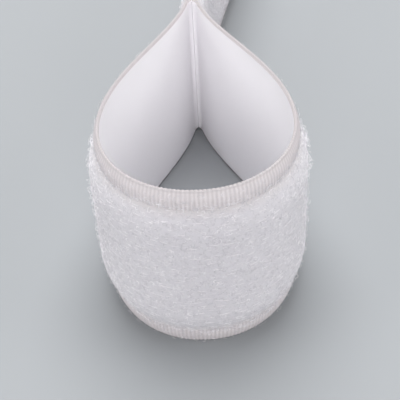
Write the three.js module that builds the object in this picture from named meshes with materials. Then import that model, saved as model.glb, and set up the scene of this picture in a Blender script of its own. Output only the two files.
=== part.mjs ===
// A length of white woven loop tape, the soft half of a hook and loop fastener, standing on one edge.
// It is folded back on itself: its middle makes a teardrop with the pile outside, and its two tails
// lie back to back behind the pinch and drift to the right.
// Millimetres, +Z up across the tape's width, +Y from the front of the teardrop to the tails.
// The origin is under the middle of the part, on the surface that it stands on.

import * as THREE from 'three';

// Driving sizes of the fold
const tapeWidth = 25;
const teardropWidth = 25; // between the coated faces, at the widest
const teardropLength = 54; // from the front's coated face to the pinch
const pinchGap = 0.3; // between the two coated faces at the pinch, and all along the tails
const tailLength = 60;
const tailBendRadius = 97; // of the middle of the pair of tails, before they run straight
const tailBendShare = 0.33; // of the tail's length
const tailBendAngle = (tailLength * tailBendShare) / tailBendRadius;

// Driving sizes of the cloth
const coatingThickness = 0.1; // resin film that locks the pile on the back
const coatingInset = 0.5; // bare stretch of the back along each edge
const weaveThickness = 0.5;
const selvedgeWidth = 2.5; // edge band with no pile
const selvedgeThickness = 0.65;
const selvedgeRounding = 0.12; // chamfer of the band's free edge
const pileHeight = 1.65;
const pileShoulder = 1.1; // stretch over which the pile thins out towards each selvedge

// The tails flex at the pinch, where the cloth is parted so that they can swing
const flexGap = 0.3;
const pilePartingAngle = THREE.MathUtils.degToRad(16); // lean of the pile on each side of the flex

// A springy strip with its two ends pressed together has a curvature that falls evenly with the
// distance from the pinch. At this fall the two halves meet squarely at the front.
const curvatureFallShare = 1.0832;
const springStepShare = 0.004;

// Counts of points and flat facets
const springStepsPerPoint = 24;
const teardropFacets = 96;
const tailFacets = 10;
const shoulderFacets = 3;

// Depths of the layers, from the coated face outwards
const weaveBack = coatingThickness;
const weaveFront = weaveBack + weaveThickness;
const selvedgeFront = weaveBack + selvedgeThickness;

// Heights of the edges between the selvedges and the pile
const lowerBandTop = selvedgeWidth;
const upperBandBottom = tapeWidth - selvedgeWidth;

// Half of the teardrop, from the pinch to the front, as shares of its width and length.
function springHalf() {
  const trace = [new THREE.Vector2(0, 0)];
  const place = new THREE.Vector2(0, 0);
  let heading = 0;
  while (heading > -Math.PI / 2) {
    const turn = springStepShare * (1 - curvatureFallShare * place.y);
    const middle = heading + turn / 2;
    place.x += springStepShare * Math.sin(middle);
    place.y += springStepShare * Math.cos(middle);
    heading += turn;
    trace.push(place.clone());
  }
  const widest = Math.max(...trace.map((point) => point.x));
  const longest = place.y;
  const kept = trace.filter((point, i) => i % springStepsPerPoint === 0);
  return kept.map((point) => new THREE.Vector2(point.x / widest / 2, point.y / longest));
}

// The coated face seen from above, from the left pinch round the front to the right pinch.
// The front's coated face is at y = 0 here.
function teardropLine() {
  const half = springHalf();
  const bulge = teardropWidth - pinchGap;
  const place = (share, side) =>
    new THREE.Vector3(side * (pinchGap / 2 + bulge * share.x), teardropLength * (1 - share.y), 0);
  const left = half.map((share) => place(share, -1));
  const right = half.map((share) => place(share, 1)).reverse();
  const front = new THREE.Vector3(0, 0, 0);
  return new THREE.CatmullRomCurve3([...left, front, ...right]);
}

// A station is a place on the coated face, the way along the tape there and the way out of its pile.
function station(x, y, alongX, alongY) {
  return {
    place: new THREE.Vector2(x, y),
    along: new THREE.Vector2(alongX, alongY),
    out: new THREE.Vector2(alongY, -alongX),
  };
}

function teardropStations() {
  const line = teardropLine();
  const made = [];
  for (let i = 0; i <= teardropFacets; i++) {
    const share = i / teardropFacets;
    const place = line.getPointAt(share);
    const along = line.getTangentAt(share);
    made.push(station(place.x, place.y, along.x, along.y));
  }
  made[0] = station(-pinchGap / 2, teardropLength, 0, -1);
  made[teardropFacets] = station(pinchGap / 2, teardropLength, 0, 1);
  return made;
}

// Stations of one tail in its own frame, whose origin is the hinge: from the flex round a gentle
// bend to the right, then straight to the cut end. side is -1 for the left tail, 1 for the right.
function tailStations(side, hinge) {
  const radius = tailBendRadius - (side * pinchGap) / 2;
  const straight = tailLength * (1 - tailBendShare) - flexGap;
  const made = [];
  for (let i = 0; i <= tailFacets; i++) {
    const turned = (tailBendAngle * i) / tailFacets;
    const x = tailBendRadius - radius * Math.cos(turned);
    const y = teardropLength + flexGap + radius * Math.sin(turned);
    made.push([x, y, turned]);
  }
  const [bendX, bendY] = made[tailFacets];
  made.push([
    bendX + straight * Math.sin(tailBendAngle),
    bendY + straight * Math.cos(tailBendAngle),
    tailBendAngle,
  ]);
  return made.map(([x, y, turned]) =>
    station(x - hinge.x, y - hinge.y, side * Math.sin(turned), side * Math.cos(turned)),
  );
}

// A closed solid: the section, given as [depth, height] points anticlockwise, carried along the
// stations. Where an end leans, its face opens by that angle with the depth above the weave.
function sweep(stations, section, leanAtStart = 0, leanAtEnd = 0) {
  const positions = [];
  const faces = [];
  const count = section.length;
  const last = stations.length - 1;
  stations.forEach(({ place, along, out }, i) => {
    const lean = (i === 0 ? Math.tan(leanAtStart) : 0) - (i === last ? Math.tan(leanAtEnd) : 0);
    for (const [depth, height] of section) {
      const slip = lean * (depth - weaveFront);
      positions.push(
        place.x + out.x * depth + along.x * slip,
        place.y + out.y * depth + along.y * slip,
        height,
      );
    }
  });
  for (let i = 0; i < last; i++) {
    for (let j = 0; j < count; j++) {
      const here = i * count + j;
      const next = i * count + ((j + 1) % count);
      faces.push(here, here + count, next + count);
      faces.push(here, next + count, next);
    }
  }
  const end = last * count;
  for (let j = 1; j < count - 1; j++) {
    faces.push(0, j, j + 1);
    faces.push(end, end + j + 1, end + j);
  }
  const geometry = new THREE.BufferGeometry();
  geometry.setAttribute('position', new THREE.Float32BufferAttribute(positions, 3));
  geometry.setIndex(faces);
  geometry.computeVertexNormals();
  return geometry;
}

// Sections of the layers
const coatingSection = [
  [0, coatingInset],
  [weaveBack, coatingInset],
  [weaveBack, tapeWidth - coatingInset],
  [0, tapeWidth - coatingInset],
];

const weaveSection = [
  [weaveBack, lowerBandTop],
  [weaveFront, lowerBandTop],
  [weaveFront, upperBandBottom],
  [weaveBack, upperBandBottom],
];

const lowerSelvedgeSection = [
  [weaveBack + selvedgeRounding, 0],
  [selvedgeFront - selvedgeRounding, 0],
  [selvedgeFront, selvedgeRounding],
  [selvedgeFront, lowerBandTop],
  [weaveBack, lowerBandTop],
  [weaveBack, selvedgeRounding],
];

const upperSelvedgeSection = lowerSelvedgeSection
  .map(([depth, height]) => [depth, tapeWidth - height])
  .reverse();

// The pile stands on the weave between the selvedges, with a round shoulder along each of them.
function pileShoulderPoints(edge, inwards) {
  const points = [];
  for (let i = 0; i <= shoulderFacets; i++) {
    const turned = (i / shoulderFacets) * (Math.PI / 2);
    const depth = weaveFront + pileHeight * Math.sin(turned);
    const height = edge + inwards * pileShoulder * (1 - Math.cos(turned));
    points.push([depth, height]);
  }
  return points;
}

const pileSection = [
  ...pileShoulderPoints(lowerBandTop, 1),
  ...pileShoulderPoints(upperBandBottom, -1).reverse(),
];

// Materials
const cloth = (color, roughness) =>
  new THREE.MeshStandardMaterial({ color, roughness, metalness: 0 });

const napMaterial = cloth(0xdedce2, 0.95);
const weaveMaterial = cloth(0xe4e2e6, 0.85);
const selvedgeMaterial = cloth(0xe6e3e4, 0.8);
const resinMaterial = cloth(0xe9e7ea, 0.55);

// The five layers of one stretch of the tape. flexAtStart and flexAtEnd say which of its ends meet
// another stretch at a flex, where the pile parts.
function tapeStretch(name, stations, flexAtStart, flexAtEnd) {
  const stretch = new THREE.Group();
  const add = (layer, geometry, material) => {
    const mesh = new THREE.Mesh(geometry, material);
    mesh.name = `${name}_${layer}`;
    stretch.add(mesh);
  };
  const startLean = flexAtStart ? pilePartingAngle : 0;
  const endLean = flexAtEnd ? pilePartingAngle : 0;
  add('back_coating', sweep(stations, coatingSection), resinMaterial);
  add('ground_weave', sweep(stations, weaveSection), weaveMaterial);
  add('lower_selvedge', sweep(stations, lowerSelvedgeSection), selvedgeMaterial);
  add('upper_selvedge', sweep(stations, upperSelvedgeSection), selvedgeMaterial);
  add('pile', sweep(stations, pileSection, startLean, endLean), napMaterial);
  return stretch;
}

// A tail is a group whose origin is its hinge, in the middle of the weave and of the flex.
function tail(name, side) {
  const hinge = new THREE.Vector3(
    side * (pinchGap / 2 + weaveBack + weaveThickness / 2),
    teardropLength + flexGap / 2,
    0,
  );
  const outwards = tailStations(side, hinge);
  const stations = side < 0 ? outwards.reverse() : outwards;
  const stretch = tapeStretch(name, stations, side > 0, side < 0);
  stretch.position.copy(hinge);
  return stretch;
}

const tape = new THREE.Group();
tape.add(tapeStretch('teardrop', teardropStations(), true, true));
tape.add(tail('left_tail', -1));
tape.add(tail('right_tail', 1));

const middle = new THREE.Box3().setFromObject(tape).getCenter(new THREE.Vector3());
tape.position.set(-middle.x, -middle.y, 0);

export default tape;
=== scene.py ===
import math
from collections import namedtuple

import bpy
import numpy as np
from mathutils import Matrix, Vector


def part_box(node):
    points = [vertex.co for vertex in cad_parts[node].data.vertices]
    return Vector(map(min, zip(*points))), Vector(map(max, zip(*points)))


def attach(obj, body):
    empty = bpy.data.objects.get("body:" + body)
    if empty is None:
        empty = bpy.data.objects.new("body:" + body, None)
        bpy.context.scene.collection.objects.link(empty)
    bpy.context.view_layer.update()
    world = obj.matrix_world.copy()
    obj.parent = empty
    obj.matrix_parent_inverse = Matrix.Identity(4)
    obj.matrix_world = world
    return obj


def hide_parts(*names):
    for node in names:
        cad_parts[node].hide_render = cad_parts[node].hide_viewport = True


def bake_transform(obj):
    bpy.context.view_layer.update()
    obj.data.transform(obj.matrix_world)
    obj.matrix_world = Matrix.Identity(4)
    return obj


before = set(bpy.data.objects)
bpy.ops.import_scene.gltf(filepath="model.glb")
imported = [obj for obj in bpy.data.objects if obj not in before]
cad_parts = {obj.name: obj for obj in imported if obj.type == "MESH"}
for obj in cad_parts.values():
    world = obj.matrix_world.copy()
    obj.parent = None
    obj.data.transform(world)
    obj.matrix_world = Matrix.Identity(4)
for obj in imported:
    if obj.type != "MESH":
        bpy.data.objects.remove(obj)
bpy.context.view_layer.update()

# A length of white woven loop tape on its edge, folded into a teardrop with its two tails back to back.
# Every layer is made flat, with X along the tape, Y out of its napped side and Z across its width,
# and is then wrapped round the fold, so that ribs, threads and loops are not stretched. Ribs and threads
# have their real pitch.

MM = 0.001

# Sizes of the cloth, as in the solids
COATING = 0.1 * MM
WEAVE = 0.5 * MM
SELVEDGE = 0.65 * MM
PILE = 1.65 * MM
SELVEDGE_WIDTH = 2.5 * MM
COATING_INSET = 0.5 * MM

# The fold, as in the solids
PINCH_GAP = 0.3 * MM
TAIL_LENGTH = 60 * MM
TAIL_BEND_RADIUS = 97 * MM
TAIL_BEND_SHARE = 0.33
FLEX_GAP = 0.3 * MM
CURVATURE_FALL_SHARE = 1.0832
SPRING_STEP_SHARE = 0.004

# What the solids say about place and size
film_low, film_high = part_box("teardrop_back_coating")
band_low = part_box("teardrop_lower_selvedge")[0]
TAPE_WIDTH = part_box("teardrop_upper_selvedge")[1].z - band_low.z
TEARDROP_WIDTH = film_high.x - film_low.x - 2 * COATING
FRONT_Y = film_low.y + COATING
TEARDROP_LENGTH = film_high.y - FRONT_Y
PINCH_Y = film_high.y

# Depths of the layers' faces, from the coated face outwards, and a step too small to see, that keeps two
# faces from lying in one plane
STEP = 0.01 * MM
WEAVE_BACK = COATING
WEAVE_FRONT = WEAVE_BACK + WEAVE
SELVEDGE_FRONT = WEAVE_BACK + SELVEDGE

# The film is drawn a little full towards the inside, so that the two walls all but touch at the pinch
FILM_FACE = -0.13 * MM


# The fold line: the coated face seen from above

def spring_half():
    """Half of the teardrop, from the pinch to the front, as shares of its width and length."""
    trace = [(0.0, 0.0)]
    x = y = heading = 0.0
    while heading > -math.pi / 2:
        turn = SPRING_STEP_SHARE * (1 - CURVATURE_FALL_SHARE * y)
        middle = heading + turn / 2
        x += SPRING_STEP_SHARE * math.sin(middle)
        y += SPRING_STEP_SHARE * math.cos(middle)
        heading += turn
        trace.append((x, y))
    trace = np.array(trace)
    return trace / (2 * trace[:, 0].max(), y)


# Points on the bend of a tail, and on its straight run
TAIL_POINTS = 60


def tail_points(side):
    """One tail from its flex to its cut end. side is -1 for the left tail and 1 for the right."""
    angle = TAIL_LENGTH * TAIL_BEND_SHARE / TAIL_BEND_RADIUS
    radius = TAIL_BEND_RADIUS - side * PINCH_GAP / 2
    turned = np.linspace(0, angle, TAIL_POINTS)
    x = TAIL_BEND_RADIUS - radius * np.cos(turned)
    y = PINCH_Y + FLEX_GAP + radius * np.sin(turned)
    straight = np.linspace(0, TAIL_LENGTH * (1 - TAIL_BEND_SHARE) - FLEX_GAP, TAIL_POINTS)[1:]
    x = np.append(x, x[-1] + straight * math.sin(angle))
    y = np.append(y, y[-1] + straight * math.cos(angle))
    return np.column_stack([x, y])


def fold_points():
    """The whole line, from the right tail's cut end round the front to the left tail's cut end."""
    half = spring_half()
    bulge = TEARDROP_WIDTH - PINCH_GAP
    x = PINCH_GAP / 2 + bulge * half[:, 0]
    y = PINCH_Y - TEARDROP_LENGTH * half[:, 1]
    right = np.column_stack([x, y])
    left = np.column_stack([-x, y])[::-1]
    return np.concatenate([tail_points(1)[::-1], right[:-1], left, tail_points(-1)])


# The line, and how far along it each of its points lies
line = fold_points()
steps_along = np.linalg.norm(np.diff(line, axis=0), axis=1)
way_along = np.append(0, np.cumsum(steps_along))
TOTAL = way_along[-1]
RIGHT_PINCH = way_along[len(tail_points(1)) - 1] + FLEX_GAP
LEFT_PINCH = TOTAL - way_along[len(tail_points(-1)) - 1] - FLEX_GAP

# Ribs are counted so that a whole number fills the tape, and the three stretches meet between two ribs
RIB_PITCH_WANTED = 0.5 * MM
RIBS = round(TOTAL / RIB_PITCH_WANTED)
RIB_PITCH = TOTAL / RIBS
SEAM_FROM_PINCH = 9 * MM
FIRST_SEAM = round((RIGHT_PINCH + SEAM_FROM_PINCH) / RIB_PITCH)
SECOND_SEAM = round((LEFT_PINCH - SEAM_FROM_PINCH) / RIB_PITCH)
STRETCHES = {
    "right_tail": (0, FIRST_SEAM),
    "teardrop": (FIRST_SEAM, SECOND_SEAM),
    "left_tail": (SECOND_SEAM, RIBS),
}


def make_fold_line():
    """The line as a curve, for the layers to bend round. It is deleted once they are wrapped."""
    curve = bpy.data.curves.new("fold_line", "CURVE")
    curve.dimensions = "3D"
    curve.twist_mode = "Z_UP"
    spline = curve.splines.new("POLY")
    spline.points.add(len(line) - 1)
    for point, (x, y) in zip(spline.points, line):
        point.co = (x, y, 0, 1)
    made = bpy.data.objects.new("fold_line", curve)
    bpy.context.scene.collection.objects.link(made)
    return made


fold_line = make_fold_line()


# Small tools

def only(piece):
    """Selects this piece alone and makes it the active one."""
    bpy.ops.object.select_all(action="DESELECT")
    piece.select_set(True)
    bpy.context.view_layer.objects.active = piece


def named(name):
    piece = bpy.context.active_object
    piece.name = name
    piece.data.name = name
    return piece


def apply_modifier(piece, kind, **settings):
    only(piece)
    modifier = piece.modifiers.new(kind.lower(), kind)
    for key, value in settings.items():
        setattr(modifier, key, value)
    bpy.ops.object.modifier_apply(modifier=modifier.name)


def positions(piece):
    found = np.empty(len(piece.data.vertices) * 3)
    piece.data.vertices.foreach_get("co", found)
    return found.reshape(-1, 3)


def set_positions(piece, places):
    piece.data.vertices.foreach_set("co", places.astype(np.float32).ravel())
    piece.data.update()


def keep_flat_places(piece):
    """Notes where each point lies on the flat tape, for patterns to follow: its place along and across the
    tape as a UV map, in metres, and its depth as an attribute, in millimetres."""
    places = positions(piece)
    layer = piece.data.uv_layers.get("flat") or piece.data.uv_layers.new(name="flat")
    corners = np.empty(len(piece.data.loops), int)
    piece.data.loops.foreach_get("vertex_index", corners)
    layer.data.foreach_set("uv", places[corners][:, [0, 2]].astype(np.float32).ravel())
    depth = piece.data.attributes.new("depth", "FLOAT", "POINT")
    depth.data.foreach_set("value", (places[:, 1] / MM).astype(np.float32))


def wrap(piece):
    """Bends a flat layer round the fold."""
    keep_flat_places(piece)
    apply_modifier(piece, "CURVE", object=fold_line, deform_axis="POS_X")


# Where a wall comes this near to the middle, the film swells until the two all but meet, with a fillet of
# this length towards the front, and a slit between them
PINCH_FILL = 0.55 * MM
PINCH_FILLET = 1.1 * MM
PINCH_SLIT = 0.002 * MM


def close_pinch(piece):
    """Lets a flat layer's inner face fill the narrow end of the teardrop."""
    on_tail = (way_along < RIGHT_PINCH) | (way_along > LEFT_PINCH)
    half_gap = np.where(on_tail, PINCH_GAP / 2, np.abs(line[:, 0]))
    from_front = np.abs(way_along - TOTAL / 2)
    near_pinch = line[:, 1] > PINCH_Y - TEARDROP_LENGTH / 2
    fill_from = from_front[near_pinch & (half_gap <= PINCH_FILL)].min()
    places = positions(piece)
    gap = np.interp(places[:, 0], way_along, half_gap)
    before = (fill_from - np.abs(places[:, 0] - TOTAL / 2)) / PINCH_FILLET
    before = np.clip(before, 0, 1)
    fillet = (1 - before) ** 2
    target = FILM_FACE - (PINCH_FILL - PINCH_SLIT + FILM_FACE) * fillet
    target = np.where(before == 0, PINCH_SLIT - gap, target)
    inner = np.clip((WEAVE_BACK - places[:, 1]) / (WEAVE_BACK - FILM_FACE), 0, 1)
    places[:, 1] += inner * (target - FILM_FACE)
    set_positions(piece, places)


def dress(piece, material, slot, stretch, *nodes):
    """Gives a finished piece its material, and on the teardrop its body, and hides the solids that it
    stands for.
    """
    piece.data.materials.clear()
    piece.data.materials.append(material)
    if nodes:
        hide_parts(*nodes)
    if stretch == "teardrop":
        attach(piece, "teardrop")
        return
    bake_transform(piece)


# Layers that run the length of a stretch

# How much deeper a selvedge's free edge sinks between two turns of the weft than its face between two ribs
EDGE_GROOVE_SHARE = 1.5

# Two points nearer to each other than this, at a rib's two ends, become one
MERGE_WITHIN = 0.001 * MM


def run(name, section, stretch, groove=0.0, rings=1):
    """A closed run of one section along a stretch: a rib is modelled once and repeated. section is a list
    of (depth, height). groove is how deep its outer face sinks between two ribs, and rings is how many
    steps a rib is made of."""
    first, last = STRETCHES[stretch]
    bpy.ops.object.select_all(action="DESELECT")
    bpy.ops.mesh.primitive_circle_add(vertices=len(section), radius=MM, rotation=(0, math.pi / 2, 0))
    bpy.ops.object.transform_apply(location=True, rotation=True, scale=True)
    rib = named(name)
    set_positions(rib, np.array([(0, depth, height) for depth, height in section]))
    bpy.ops.object.mode_set(mode="EDIT")
    bpy.ops.mesh.select_all(action="SELECT")
    for _ in range(rings):
        bpy.ops.mesh.extrude_edges_move(TRANSFORM_OT_translate={"value": (RIB_PITCH / rings, 0, 0)})
    bpy.ops.object.mode_set(mode="OBJECT")
    if groove:
        places = positions(rib)
        between = 1 - np.abs(np.sin(np.pi * places[:, 0] / RIB_PITCH))
        outer = np.clip((places[:, 1] - WEAVE_BACK) / (SELVEDGE_FRONT - WEAVE_BACK), 0, 1)
        places[:, 1] -= groove * outer * between
        from_edge = np.minimum(places[:, 2], TAPE_WIDTH - places[:, 2])
        free = np.clip(1 - from_edge / COATING_INSET, 0, 1)
        inwards = np.sign(TAPE_WIDTH / 2 - places[:, 2])
        places[:, 2] += EDGE_GROOVE_SHARE * groove * free * between * inwards
        set_positions(rib, places)
    apply_modifier(
        rib,
        "ARRAY",
        count=last - first,
        use_relative_offset=False,
        use_constant_offset=True,
        constant_offset_displace=(RIB_PITCH, 0, 0),
        use_merge_vertices=True,
        merge_threshold=MERGE_WITHIN,
    )
    bpy.ops.object.mode_set(mode="EDIT")
    bpy.ops.mesh.select_all(action="DESELECT")
    bpy.ops.mesh.select_non_manifold(extend=False)
    bpy.ops.mesh.fill_holes(sides=0)
    bpy.ops.mesh.select_all(action="SELECT")
    bpy.ops.mesh.normals_make_consistent(inside=False)
    bpy.ops.object.mode_set(mode="OBJECT")
    places = positions(rib)
    places[:, 0] += first * RIB_PITCH
    set_positions(rib, places)
    return rib


# Materials

def linear(hex_colour):
    """An sRGB hex colour as linear red, green, blue and alpha."""
    parts = [int(hex_colour[i : i + 2], 16) / 255 for i in (0, 2, 4)]
    return [c / 12.92 if c <= 0.04045 else ((c + 0.055) / 1.055) ** 2.4 for c in parts] + [1.0]


def add_node(tree, kind, settings=None, **links):
    """Adds one node. A link is named for its socket, with _ for a space, or is i and the socket's number,
    and takes a socket or a value."""
    made = tree.nodes.new(kind)
    for key, value in (settings or {}).items():
        setattr(made, key, value)
    for key, value in links.items():
        numbered = key[0] == "i" and key[1:].isdigit()
        socket = made.inputs[int(key[1:]) if numbered else key.replace("_", " ")]
        if isinstance(value, bpy.types.NodeSocket):
            tree.links.new(value, socket)
        else:
            socket.default_value = value
    return made


def new_material(name, **settings):
    """A material, its nodes and its shader. settings are values of the shader's own sockets."""
    material = bpy.data.materials.new(name)
    material.use_nodes = True
    tree = material.node_tree
    shader = tree.nodes["Principled BSDF"]
    for key, value in settings.items():
        shader.inputs[key.replace("_", " ")].default_value = value
    return material, tree, shader


def flat_places(tree):
    """The place on the flat tape, in millimetres."""
    where = add_node(tree, "ShaderNodeUVMap", {"uv_map": "flat"})
    scaled = add_node(tree, "ShaderNodeMapping", i0=where.outputs[0], Scale=(1 / MM, 1 / MM, 1 / MM))
    return scaled.outputs[0]


# Pitches of the yarns in the cloth, in millimetres: the weft lies as the ribs do, the warp closer
WEFT_PITCH = RIB_PITCH_WANTED / MM
WARP_PITCH = 0.35

# Grains of the finer patterns, per millimetre of cloth. The film is cloudy over 2.9 mm. Single filaments
# are 0.03 mm thick, too fine to show, so the selvedge's flecks and the mat's lumps are drawn as bundles of
# them, 0.11 and 0.2 mm across
FILM_CLOUDS_PER_MM = 0.35
SELVEDGE_FLECKS_PER_MM = 9.0
MAT_LUMPS_PER_MM = 5.0


def wave_scale(pitch):
    """The scale of a wave texture for bands of this pitch, in millimetres. It turns 20 radians a unit."""
    return math.pi / 10 / pitch


def edge_fade(tree, flat, nearer, farther):
    """1 at one distance from the tape's free edges, in millimetres, and 0 from a farther one inwards."""
    half = TAPE_WIDTH / MM / 2
    split = add_node(tree, "ShaderNodeSeparateXYZ", Vector=flat)
    across = add_node(tree, "ShaderNodeMath", {"operation": "SUBTRACT"}, i0=split.outputs[1], i1=half)
    off_middle = add_node(tree, "ShaderNodeMath", {"operation": "ABSOLUTE"}, i0=across.outputs[0])
    return add_node(
        tree,
        "ShaderNodeMapRange",
        Value=off_middle.outputs[0],
        From_Min=half - farther,
        From_Max=half - nearer,
    )


def resin_coated_back():
    """Polyurethane film knifed over the weave: smooth and satin, with the threads just showing through."""
    material, tree, shader = new_material(
        "resin_coated_back", Base_Color=linear("F6F4F7"), Roughness=0.55, IOR=1.5
    )
    flat = flat_places(tree)
    threads = add_node(
        tree,
        "ShaderNodeTexWave",
        {"bands_direction": "X"},
        Vector=flat,
        Scale=wave_scale(WEFT_PITCH),
        Distortion=1.2,
    )
    cloud = add_node(tree, "ShaderNodeTexNoise", Vector=flat, Scale=FILM_CLOUDS_PER_MM, Detail=3.0)
    both = add_node(
        tree, "ShaderNodeMath", {"operation": "ADD"}, i0=threads.outputs["Fac"], i1=cloud.outputs["Fac"]
    )
    bump = add_node(tree, "ShaderNodeBump", Strength=0.15, Distance=0.03 * MM, Height=both.outputs[0])
    tree.links.new(bump.outputs[0], shader.inputs["Normal"])
    return material


def woven_nylon():
    """Plain weave of nylon yarn, seen at the cut ends and where the nap is thin: matt, with crossing
    threads."""
    material, tree, shader = new_material(
        "woven_nylon", Base_Color=linear("DEDCE0"), Roughness=0.7, IOR=1.53, Sheen_Weight=0.2
    )
    flat = flat_places(tree)
    weft = add_node(
        tree, "ShaderNodeTexWave", {"bands_direction": "X"}, Vector=flat, Scale=wave_scale(WEFT_PITCH)
    )
    warp = add_node(
        tree, "ShaderNodeTexWave", {"bands_direction": "Y"}, Vector=flat, Scale=wave_scale(WARP_PITCH)
    )
    both = add_node(
        tree, "ShaderNodeMath", {"operation": "MULTIPLY"}, i0=weft.outputs["Fac"], i1=warp.outputs["Fac"]
    )
    bump = add_node(tree, "ShaderNodeBump", Strength=0.6, Distance=0.08 * MM, Height=both.outputs[0])
    tree.links.new(bump.outputs[0], shader.inputs["Normal"])
    return material


# How far from the free edge the spaces between the weft's turns get painted shade, how far from the coated
# face that painted shade is darker still, both in millimetres, and the share of it that the turns
# themselves have
EDGE_SHADE = 0.45
INNER_SHADE = 0.3
TURN_SHADE = 0.85


def ribbed_selvedge():
    """Nylon weft packed over a few warps: fine ribs, slightly warmer and glossier than the nap, with
    painted shade between the ribs, and deeper painted shade between the weft's turns along the free edge,
    darkest near the coated face."""
    material, tree, shader = new_material("ribbed_selvedge_nylon", Roughness=0.75, IOR=1.53)
    flat = flat_places(tree)
    fine = add_node(tree, "ShaderNodeTexNoise", Vector=flat, Scale=SELVEDGE_FLECKS_PER_MM, Detail=2.0)
    tone = add_node(
        tree,
        "ShaderNodeMix",
        {"data_type": "RGBA"},
        i0=fine.outputs["Fac"],
        i6=linear("D6CFD1"),
        i7=linear("E0DADC"),
    )
    # The ribs darken the tone towards CFC8CA between them: painted shade in the grooves between the ribs.
    ribs = add_node(
        tree, "ShaderNodeTexWave", {"bands_direction": "X"}, Vector=flat, Scale=wave_scale(RIB_PITCH / MM)
    )
    rib_painted_shade = add_node(
        tree,
        "ShaderNodeMix",
        {"data_type": "RGBA"},
        i0=ribs.outputs["Fac"],
        i6=linear("CFC8CA"),
        i7=tone.outputs[2],
    )
    # Painted shade along the free edge: the colour darkens between the weft's turns, and more towards the
    # coated face.
    near_edge = edge_fade(tree, flat, 0, EDGE_SHADE)
    between = add_node(
        tree, "ShaderNodeMapRange", Value=ribs.outputs["Fac"], To_Min=1.0, To_Max=TURN_SHADE
    )
    shaded = add_node(
        tree, "ShaderNodeMath", {"operation": "MULTIPLY"}, i0=near_edge.outputs[0], i1=between.outputs[0]
    )
    depth = add_node(tree, "ShaderNodeAttribute", {"attribute_name": "depth"})
    inner = add_node(
        tree, "ShaderNodeMapRange", Value=depth.outputs["Fac"], From_Min=INNER_SHADE, From_Max=0.0
    )
    edge_painted_shade = add_node(
        tree,
        "ShaderNodeMix",
        {"data_type": "RGBA"},
        i0=inner.outputs[0],
        i6=linear("ADA7A9"),
        i7=linear("9B9597"),
    )
    edged = add_node(
        tree,
        "ShaderNodeMix",
        {"data_type": "RGBA"},
        i0=shaded.outputs[0],
        i6=rib_painted_shade.outputs[2],
        i7=edge_painted_shade.outputs[2],
    )
    tree.links.new(edged.outputs[2], shader.inputs["Base Color"])
    bump = add_node(tree, "ShaderNodeBump", Strength=0.4, Distance=0.03 * MM, Height=fine.outputs["Fac"])
    tree.links.new(bump.outputs[0], shader.inputs["Normal"])
    return material


# How far from the free edge the bed is full, in millimetres
NAP_FULL_FROM = 3.8


def nap_bed():
    """The deep part of the nap, where loops lie matted over each other: soft and dull, and as warm as
    the selvedge where it thins out."""
    material, tree, shader = new_material(
        "matted_nylon_nap",
        Roughness=0.9,
        IOR=1.53,
        Subsurface_Weight=1.0,
        Subsurface_Radius=(1, 1, 1),
        Subsurface_Scale=0.4 * MM,
    )
    flat = flat_places(tree)
    mat = add_node(
        tree, "ShaderNodeTexNoise", Vector=flat, Scale=MAT_LUMPS_PER_MM, Detail=6.0, Roughness=0.7
    )
    tone = add_node(
        tree,
        "ShaderNodeMix",
        {"data_type": "RGBA"},
        i0=mat.outputs["Fac"],
        i6=linear("CFCCD1"),
        i7=linear("E0DDE2"),
    )
    thin = edge_fade(tree, flat, SELVEDGE_WIDTH / MM, NAP_FULL_FROM)
    edged = add_node(
        tree,
        "ShaderNodeMix",
        {"data_type": "RGBA"},
        i0=thin.outputs[0],
        i6=tone.outputs[2],
        i7=linear("DAD4D6"),
    )
    tree.links.new(edged.outputs[2], shader.inputs["Base Color"])
    bump = add_node(tree, "ShaderNodeBump", Strength=0.4, Distance=0.05 * MM, Height=mat.outputs["Fac"])
    tree.links.new(bump.outputs[0], shader.inputs["Normal"])
    return material


def nap_filament():
    """Drawn nylon filament, smooth and lustrous, so that a loop lying across the light glints. Its tone
    varies from loop to loop, and is paler on the hairs: a painted highlight for their glints."""
    material, tree, shader = new_material("nylon_filament", Roughness=0.25, IOR=1.53)
    shade = add_node(tree, "ShaderNodeAttribute", {"attribute_name": "shade"})
    tone = add_node(
        tree,
        "ShaderNodeMix",
        {"data_type": "RGBA"},
        i0=shade.outputs["Fac"],
        i6=linear("CCC9CF"),
        i7=linear("FFFCFF"),
    )
    tree.links.new(tone.outputs[2], shader.inputs["Base Color"])
    return material


RESIN = resin_coated_back()
WOVEN = woven_nylon()
RIBBED = ribbed_selvedge()
BED = nap_bed()
FILAMENT = nap_filament()


# Ground cloth

FILM_SECTION = [
    (FILM_FACE, COATING_INSET),
    (WEAVE_BACK, COATING_INSET),
    (WEAVE_BACK, TAPE_WIDTH - COATING_INSET),
    (FILM_FACE, TAPE_WIDTH - COATING_INSET),
]

WEAVE_SECTION = [
    (WEAVE_BACK, SELVEDGE_WIDTH),
    (WEAVE_FRONT, SELVEDGE_WIDTH),
    (WEAVE_FRONT, TAPE_WIDTH - SELVEDGE_WIDTH),
    (WEAVE_BACK, TAPE_WIDTH - SELVEDGE_WIDTH),
]

# How much thinner a selvedge is at its free edge than where it butts on the weave, over what width it
# thins, and how many points its rounding has
EDGE_THINNING = 0.34 * MM
EDGE_TAPER = 2 * MM
EDGE_POINTS = 9


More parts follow.
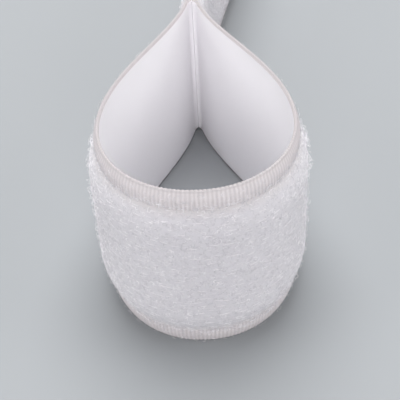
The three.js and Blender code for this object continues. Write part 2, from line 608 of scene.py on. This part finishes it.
def selvedge_section():
    """The lower edge band: its free edge is round, its back is flush with the film, and it butts on the
    weave."""
    back = FILM_FACE + STEP
    front = SELVEDGE_FRONT - EDGE_THINNING
    middle = (back + front) / 2
    radius = (front - back) / 2
    free = [
        (middle + radius * math.sin(turned), COATING_INSET * (1 - math.cos(turned)))
        for turned in np.linspace(-math.pi / 2, math.pi / 2, EDGE_POINTS)
    ]
    face = [
        (SELVEDGE_FRONT - EDGE_THINNING * (1 - share) ** 2, share * EDGE_TAPER)
        for share in (0.5, 0.75, 1.0)
    ]
    butt = [(SELVEDGE_FRONT, SELVEDGE_WIDTH), (WEAVE_BACK, SELVEDGE_WIDTH), (WEAVE_BACK, COATING_INSET)]
    return free + face + butt


def turned_over(section):
    """The same section at the tape's other edge."""
    return [(depth, TAPE_WIDTH - height) for depth, height in section][::-1]


# How deep the face sinks between two ribs, in how many steps a rib is made, and the sharpest bend that is
# shaded as smooth
RIB_GROOVE = 0.09 * MM
RIB_STEPS = 4
CLOTH_CREASE = math.radians(50)


def add_ground(stretch):
    """The film, the weave and the two selvedges. Gives them back with the weave first."""
    edge = selvedge_section()
    ribs = {"groove": RIB_GROOVE, "rings": RIB_STEPS}
    film = run(f"{stretch}_back_film", FILM_SECTION, stretch, rings=RIB_STEPS)
    weave = run(f"{stretch}_weave", WEAVE_SECTION, stretch)
    lower = run(f"{stretch}_lower_ribs", edge, stretch, **ribs)
    upper = run(f"{stretch}_upper_ribs", turned_over(edge), stretch, **ribs)
    for piece, material, slot, node in (
        (film, RESIN, "resin_back", "back_coating"),
        (weave, WOVEN, "woven_nylon", "ground_weave"),
        (lower, RIBBED, "selvedge", "lower_selvedge"),
        (upper, RIBBED, "selvedge", "upper_selvedge"),
    ):
        if piece != weave:
            close_pinch(piece)
        wrap(piece)
        only(piece)
        bpy.ops.object.shade_smooth_by_angle(angle=CLOTH_CREASE)
        dress(piece, material, slot, stretch, f"{stretch}_{node}")
    return [weave, film, lower, upper]


# Nap

NAP_BOTTOM = SELVEDGE_WIDTH
NAP_TOP = TAPE_WIDTH - SELVEDGE_WIDTH

# The matted bed: the share of the pile that it fills, its depth at the selvedges, how wide and how full its
# shoulder is, its points across the tape and steps in a rib, and the sharpest bend that is shaded as smooth
BED_SHARE = 0.75
BED_FRONT = WEAVE_FRONT + BED_SHARE * PILE
BED_EDGE = SELVEDGE_FRONT + STEP
SHOULDER = 3.6 * MM
SHOULDER_POWER = 1.2
BED_POINTS = 81
BED_STEPS = 2
BED_CREASE = math.radians(60)


def bed_depth(height):
    """How deep the matted bed reaches at a height on the tape: full in the middle, thin at the edges."""
    edge = np.minimum(height - NAP_BOTTOM, NAP_TOP - height)
    rise = np.clip(edge / SHOULDER, 0, 1) ** SHOULDER_POWER
    return BED_EDGE + (BED_FRONT - BED_EDGE) * (1 - (1 - rise) ** 2)


def push(piece, size, depth, direction, group=""):
    """Shifts a piece's points by soft noise of one grain size."""
    noise = bpy.data.textures.new("noise", "CLOUDS")
    noise.noise_scale = size
    noise.noise_depth = 2
    apply_modifier(
        piece,
        "DISPLACE",
        texture=noise,
        texture_coords="LOCAL",
        direction=direction,
        strength=depth,
        mid_level=0.5,
        vertex_group=group,
    )


# Lumps of the mat, as grain size and depth. The loops lie on the same lumps, and are bent by finer noise,
# with these grains along the tape and across it
LUMPS = ((1.0 * MM, 0.03 * MM), (0.4 * MM, 0.045 * MM))
BEND_ALONG = 0.3 * MM
BEND_ACROSS = 0.35 * MM


def add_bed(stretch):
    """The closed mat under the loops, lumpy on its outer face."""
    heights = np.linspace(NAP_BOTTOM, NAP_TOP, BED_POINTS)
    section = [(WEAVE_FRONT, NAP_BOTTOM)]
    section += [(float(bed_depth(h)), float(h)) for h in heights]
    section += [(WEAVE_FRONT, NAP_TOP)]
    bed = run(f"{stretch}_nap_bed", section, stretch, rings=BED_STEPS)
    front = bed.vertex_groups.new(name="front")
    raised = np.flatnonzero(positions(bed)[:, 1] > BED_EDGE - STEP)
    front.add(raised.tolist(), 1.0, "REPLACE")
    for size, depth in LUMPS:
        push(bed, size, depth, "Y", "front")
    wrap(bed)
    only(bed)
    bpy.ops.object.shade_smooth_by_angle(angle=BED_CREASE)
    dress(bed, BED, "loop_nap", stretch, f"{stretch}_pile")
    return bed


# Filaments are flattened, as they are where the nap is matted, and have few sides because there are so
# many. Real ones are about 0.03 mm thick. These are 0.04 to 0.09 mm, so that they show
FILAMENT_FLATNESS = 0.5
FILAMENT_SIDES = 3


def add_arch(name, kind):
    """One loop of filament: an arch that stands on its two feet along X and rises along Y."""
    bpy.ops.object.select_all(action="DESELECT")
    bpy.ops.mesh.primitive_circle_add(
        vertices=FILAMENT_SIDES,
        radius=kind.radius,
        location=(-kind.span / 2, 0, 0),
        rotation=(math.pi / 2, 0, 0),
    )
    bpy.ops.object.transform_apply(location=True, rotation=True, scale=True)
    arch = named(name)
    bpy.ops.object.mode_set(mode="EDIT")
    bpy.ops.mesh.select_all(action="SELECT")
    bpy.ops.mesh.spin(steps=kind.steps, angle=math.pi, center=(0, 0, 0), axis=(0, 0, 1))
    bpy.ops.mesh.select_all(action="DESELECT")
    bpy.ops.mesh.select_non_manifold(extend=False)
    bpy.ops.mesh.fill_holes(sides=0)
    bpy.ops.mesh.select_all(action="SELECT")
    bpy.ops.mesh.normals_make_consistent(inside=False)
    bpy.ops.object.mode_set(mode="OBJECT")
    rings = positions(arch).reshape(-1, FILAMENT_SIDES, 3)
    middles = rings.mean(axis=1, keepdims=True)
    drawn_out = middles * np.array([1, 2 * kind.rise / kind.span, 1])
    flattened = (rings - middles) * np.array([1, 1, FILAMENT_FLATNESS])
    set_positions(arch, (drawn_out + flattened).reshape(-1, 3))
    return arch


# Each kind of loop: the arch's span, rise, filament radius and segments, the kind's share of the nap, how
# far it turns from the tape's own direction, the least and most that it leans over, where a quarter turn
# lays it flat, how high it lies on the bed, and its range of shades
Kind = namedtuple("Kind", "span rise radius steps share turn leans lift shades")
LOOP_KINDS = {
    "curl": Kind(0.34 * MM, 0.18 * MM, 0.045 * MM, 4, 0.78, math.pi, (1.53, 1.61), 0, (0, 1)),
    "loop": Kind(0.6 * MM, 0.25 * MM, 0.035 * MM, 4, 0.06, math.pi, (1.53, 1.61), 0.005 * MM, (0, 1)),
    # The hairs' shades start higher than the other loops': a painted highlight, paler tones for the glints
    # of filaments lying along the tape.
    "hair": Kind(0.9 * MM, 0.04 * MM, 0.04 * MM, 4, 0.06, 0.15, (1.53, 1.61), 0.02 * MM, (0.7, 1)),
    "fuzz": Kind(0.5 * MM, 0.4 * MM, 0.022 * MM, 4, 0.1, math.pi, (0, 1.35), 0, (0, 1)),
}
TUFT = Kind(0.8 * MM, 0.6 * MM, 0.018 * MM, 10, 0, math.pi, (0, 1.3), 0, (0.3, 1))
STRAY = Kind(0.55 * MM, 0.2 * MM, 0.022 * MM, 4, 0, math.pi, (1.3, 1.57), 0, (0, 1))

# Strays of the nap lie over both selvedges, this many to a millimetre of edge, mostly this near to the nap,
# and keep this far from the free edge
STRAYS_PER_MM = 14
STRAY_REACH = 0.7 * MM
STRAY_FREE = 0.6 * MM

# A loop's feet lie from a little under the bed's face to a little over it, in millimetres, and its size
# varies by these shares
FEET = (-0.015, 0.01)
SIZES = (0.6, 1.2)

# Where the nap is pulled up into a tuft: the place along the tape from the middle of the front, towards the
# left tail, its height, how far it spreads and how many loops it has
TUFTS = (
    (-24.0 * MM, 20.4 * MM, 1.0 * MM, 26),
    (-22.0 * MM, 20.2 * MM, 0.9 * MM, 26),
    (-19.8 * MM, 18.8 * MM, 0.9 * MM, 12),
    (-18.7 * MM, 13.3 * MM, 0.4 * MM, 5),
    (-11.5 * MM, 3.4 * MM, 0.8 * MM, 8),
    (25.5 * MM, 22.0 * MM, 0.8 * MM, 14),
    (23.6 * MM, 20.9 * MM, 0.9 * MM, 14),
    (20.8 * MM, 19.7 * MM, 0.8 * MM, 9),
    (18.5 * MM, 17.5 * MM, 0.7 * MM, 7),
)

# Loops on a square millimetre of nap, how far they reach past the nap's edges and scatter there, how much
# of a row's width its curls fill, and how far the loops and the tufts are bent
LOOPS_PER_SQUARE_MM = 11.5
NAP_REACH = 0.25 * MM
EDGE_SCATTER = 0.3 * MM
ROW_SPREAD = 0.65
LOOP_BEND = 0.06 * MM
TUFT_BEND = 0.3 * MM

# Steps that fill a square with no pattern: the inverse, and its square, of the number whose cube is one
# more than itself
EVEN_STEPS = (0.7548776662, 0.5698402910)


def spread_evenly(count, rng):
    """Two shares for each of count loops, that fill a square evenly but with no pattern."""
    steps = np.array(EVEN_STEPS)
    return (rng.uniform(0, 1, 2) + steps * np.arange(count)[:, None]) % 1


def turned_copies(model, places, turned, leant, size):
    """The points of many copies of a loop, each leant about its feet, turned about Y and put in place."""
    base = positions(model)
    x, y, z = (base[None, :, k] * size[:, None] for k in range(3))
    c, s = np.cos(leant)[:, None], np.sin(leant)[:, None]
    y, z = y * c - z * s, y * s + z * c
    c, s = np.cos(turned)[:, None], np.sin(turned)[:, None]
    x, z = x * c + z * s, z * c - x * s
    return np.stack([x, y, z], axis=-1) + places[:, None, :]


def many(name, batches):
    """One mesh of all the copies. batches is a list of (model, points of its copies, shade of each)."""
    points, corners, sizes, shades = [], [], [], []
    start = 0
    for model, copies, shade in batches:
        polygons = [list(p.vertices) for p in model.data.polygons]
        count, per_copy = copies.shape[:2]
        starts = start + per_copy * np.arange(count)
        points.append(copies.reshape(-1, 3))
        corners.append((np.concatenate(polygons)[None] + starts[:, None]).ravel())
        sizes.append(np.tile([len(p) for p in polygons], count))
        shades.append(np.repeat(shade, per_copy))
        start += count * per_copy
    points, corners, sizes, shades = (np.concatenate(x) for x in (points, corners, sizes, shades))
    mesh = bpy.data.meshes.new(name)
    mesh.vertices.add(len(points))
    mesh.vertices.foreach_set("co", points.astype(np.float32).ravel())
    mesh.loops.add(len(corners))
    mesh.loops.foreach_set("vertex_index", corners.astype(np.int32))
    mesh.polygons.add(len(sizes))
    mesh.polygons.foreach_set("loop_start", (np.cumsum(sizes) - sizes).astype(np.int32))
    mesh.update(calc_edges=True)
    mesh.attributes.new("shade", "FLOAT", "POINT").data.foreach_set("value", shades.astype(np.float32))
    made = bpy.data.objects.new(name, mesh)
    bpy.context.scene.collection.objects.link(made)
    return made


def laid(kind, model, x, z, rng):
    """Copies of one kind of loop with their feet on the bed, at x along the tape and z across it."""
    count = len(x)
    y = kind.lift + rng.uniform(*FEET, count) * MM
    turned = rng.uniform(-kind.turn, kind.turn, count)
    leant = -rng.uniform(*kind.leans, count)
    size = rng.uniform(*SIZES, count)
    copies = turned_copies(model, np.column_stack([x, y, z]), turned, leant, size)
    copies[..., 1] += bed_depth(copies[..., 2])
    dimmest, brightest = kind.shades
    return model, copies, dimmest + (brightest - dimmest) * rng.uniform(0, 1, count) ** 2


def add_nap(name, stretch, batches, bend):
    """One piece of the nap's loops, bent and wrapped. bend is how far a loop strays sideways."""
    loops = many(name, batches)
    push(loops, BEND_ALONG, bend, "X")
    push(loops, BEND_ACROSS, bend, "Z")
    for size, depth in LUMPS:
        push(loops, size, depth, "Y")
    wrap(loops)
    only(loops)
    bpy.ops.object.shade_flat()
    dress(loops, FILAMENT, "loop_nap", stretch)
    return loops


def add_loops(stretch, part, parts, models, rng):
    """The loops on one part of a stretch, and the strays beside them."""
    first, last = (x * RIB_PITCH for x in STRETCHES[stretch])
    low = first + (last - first) * part / parts
    high = first + (last - first) * (part + 1) / parts
    total = (high - low) * (NAP_TOP - NAP_BOTTOM) / MM**2 * LOOPS_PER_SQUARE_MM
    batches = []
    for name, kind in LOOP_KINDS.items():
        count = round(total * kind.share)
        shares = spread_evenly(count, rng)
        x = low + (high - low) * shares[:, 0]
        if name == "curl":
            row = (np.floor(x / RIB_PITCH) + 0.5) * RIB_PITCH
            x = row + (x - row) * ROW_SPREAD
        z = NAP_BOTTOM - NAP_REACH + (NAP_TOP - NAP_BOTTOM + 2 * NAP_REACH) * shares[:, 1]
        z += rng.normal(0, EDGE_SCATTER, count)
        batches.append(laid(kind, models[name], x, z, rng))
    for edge, outwards in ((NAP_BOTTOM, -1), (NAP_TOP, 1)):
        count = round((high - low) / MM * STRAYS_PER_MM)
        x = low + (high - low) * spread_evenly(count, rng)[:, 0]
        reach = np.minimum(rng.exponential(STRAY_REACH, count), SELVEDGE_WIDTH - STRAY_FREE)
        batches.append(laid(STRAY, models["stray"], x, edge + outwards * reach, rng))
    return add_nap(f"{stretch}_loops_{part + 1}", stretch, batches, LOOP_BEND)


def add_tufts(rng):
    """The tufts on the teardrop's sides, where handling has pulled the nap up."""
    model = add_arch("tuft", TUFT)
    batches = []
    for along, height, spread, count in TUFTS:
        x = TOTAL / 2 + along + rng.normal(0, spread / 2, count)
        z = height + rng.normal(0, spread / 2, count)
        batches.append(laid(TUFT, model, x, z, rng))
    tufts = add_nap("teardrop_tufts", "teardrop", batches, TUFT_BEND)
    bpy.data.objects.remove(model)
    return tufts


# The loops of a stretch are split into this many pieces, to keep each one light
LOOP_PARTS = {"right_tail": 3, "teardrop": 4, "left_tail": 3}
SEED = 25

rng = np.random.default_rng(SEED)
loop_models = {name: add_arch(name, kind) for name, kind in LOOP_KINDS.items()}
loop_models["stray"] = add_arch("stray", STRAY)
for stretch, parts in LOOP_PARTS.items():
    weave, *others = add_ground(stretch)
    others.append(add_bed(stretch))
    others += [add_loops(stretch, part, parts, loop_models, rng) for part in range(parts)]
    if stretch == "teardrop":
        others.append(add_tufts(rng))

for model in loop_models.values():
    bpy.data.objects.remove(model)
bpy.data.objects.remove(fold_line)


# Floor, light and camera

# The floor's width and the distances from the tape between which it fades into the backdrop, in metres, and
# the backdrop's tone, which is the one that the floor has in the light
FLOOR_SIZE = 6
FLOOR_FADES_FROM = 0.25
FLOOR_FADES_TO = 0.9
BACKDROP = linear("C4C7CA")


def seen_directly(tree):
    """1 for what the camera sees, also in a gloss or through glass, and 0 for what only gives light."""
    path = add_node(tree, "ShaderNodeLightPath")
    rays = [path.outputs[name] for name in ("Is Camera Ray", "Is Glossy Ray", "Is Transmission Ray")]
    two = add_node(tree, "ShaderNodeMath", {"operation": "ADD"}, i0=rays[0], i1=rays[1])
    three = add_node(
        tree, "ShaderNodeMath", {"operation": "ADD", "use_clamp": True}, i0=two.outputs[0], i1=rays[2]
    )
    return three.outputs[0]


def add_floor():
    """A pale floor that runs into the backdrop where the lamps no longer reach."""
    bpy.ops.object.select_all(action="DESELECT")
    bpy.ops.mesh.primitive_plane_add(size=FLOOR_SIZE)
    floor = named("floor")
    material, tree, shader = new_material("pale_floor", Base_Color=linear("94979A"), Roughness=0.9)
    where = add_node(tree, "ShaderNodeTexCoord")
    from_middle = add_node(
        tree, "ShaderNodeVectorMath", {"operation": "LENGTH"}, i0=where.outputs["Object"]
    )
    far = add_node(
        tree,
        "ShaderNodeMapRange",
        {"interpolation_type": "SMOOTHSTEP"},
        Value=from_middle.outputs["Value"],
        From_Min=FLOOR_FADES_FROM,
        From_Max=FLOOR_FADES_TO,
    )
    seen = add_node(
        tree, "ShaderNodeMath", {"operation": "MULTIPLY"}, i0=far.outputs[0], i1=seen_directly(tree)
    )
    plain = add_node(tree, "ShaderNodeEmission", Color=BACKDROP)
    faded = add_node(
        tree, "ShaderNodeMixShader", i0=seen.outputs[0], i1=shader.outputs[0], i2=plain.outputs[0]
    )
    tree.links.new(faded.outputs[0], tree.nodes["Material Output"].inputs["Surface"])
    floor.data.materials.append(material)


# What the lamps point at, and each lamp's place, width and power, in metres and watts: a large soft one on
# each side, in front, overhead and behind, at a level at which a colour shows about as it is written
LAMPS_POINT_AT = (0, -0.03, 0.012)
LAMPS = {
    "left_softbox": ((-0.504, -0.119, 0.284), 0.4, 0.97),
    "right_softbox": ((0.504, -0.119, 0.284), 0.4, 0.97),
    "front_softbox": ((0, -0.556, 0.257), 0.35, 1.87),
    "top_softbox": ((0, 0.149, 0.564), 0.5, 3.9),
    "back_softbox": ((0, 0.38, 0.422), 0.6, 1.3),
}
WORLD_LIGHT = 0.15


def add_lamp(name, place, size, power):
    lamp = bpy.data.lights.new(name, "AREA")
    lamp.shape = "DISK"
    lamp.size = size
    lamp.energy = power
    made = bpy.data.objects.new(name, lamp)
    made.location = place
    aim = Vector(LAMPS_POINT_AT) - Vector(place)
    made.rotation_euler = aim.to_track_quat("-Z", "Y").to_euler()
    bpy.context.scene.collection.objects.link(made)


def add_world():
    """Even white light from all round, with the pale backdrop where the camera looks past the floor."""
    world = bpy.data.worlds.new("studio")
    world.use_nodes = True
    tree = world.node_tree
    light = tree.nodes["Background"]
    light.inputs["Color"].default_value = (1, 1, 1, 1)
    light.inputs["Strength"].default_value = WORLD_LIGHT
    backdrop = add_node(tree, "ShaderNodeBackground", Color=BACKDROP)
    studio = add_node(
        tree, "ShaderNodeMixShader", i0=seen_directly(tree), i1=light.outputs[0], i2=backdrop.outputs[0]
    )
    tree.links.new(studio.outputs[0], tree.nodes["World Output"].inputs["Surface"])
    bpy.context.scene.world = world


# The camera's place: right of the middle, in front of the teardrop and over the floor
CAMERA_RIGHT = 1.1 * MM
CAMERA_BEFORE = 76.83 * MM
CAMERA_OVER = 84.52 * MM


def add_camera():
    """The photograph's view: close to, from the front and above, leaning a little to the left."""
    turned = math.radians(0.75)
    elevation = math.radians(38.51)
    roll = math.radians(-3.43)
    camera = bpy.data.cameras.new("camera")
    camera.lens = 77
    camera.sensor_width = 36
    camera.clip_start = MM
    made = bpy.data.objects.new("camera", camera)
    place = Matrix.Translation((CAMERA_RIGHT, FRONT_Y - CAMERA_BEFORE, CAMERA_OVER))
    tilt = Matrix.Rotation(math.pi / 2 - elevation, 4, "X") @ Matrix.Rotation(roll, 4, "Z")
    made.matrix_world = place @ Matrix.Rotation(turned, 4, "Z") @ tilt
    bpy.context.scene.collection.objects.link(made)
    bpy.context.scene.camera = made


add_floor()
for name, (place, size, power) in LAMPS.items():
    add_lamp(name, place, size, power)
add_world()
add_camera()
bpy.context.scene.view_settings.view_transform = "Standard"
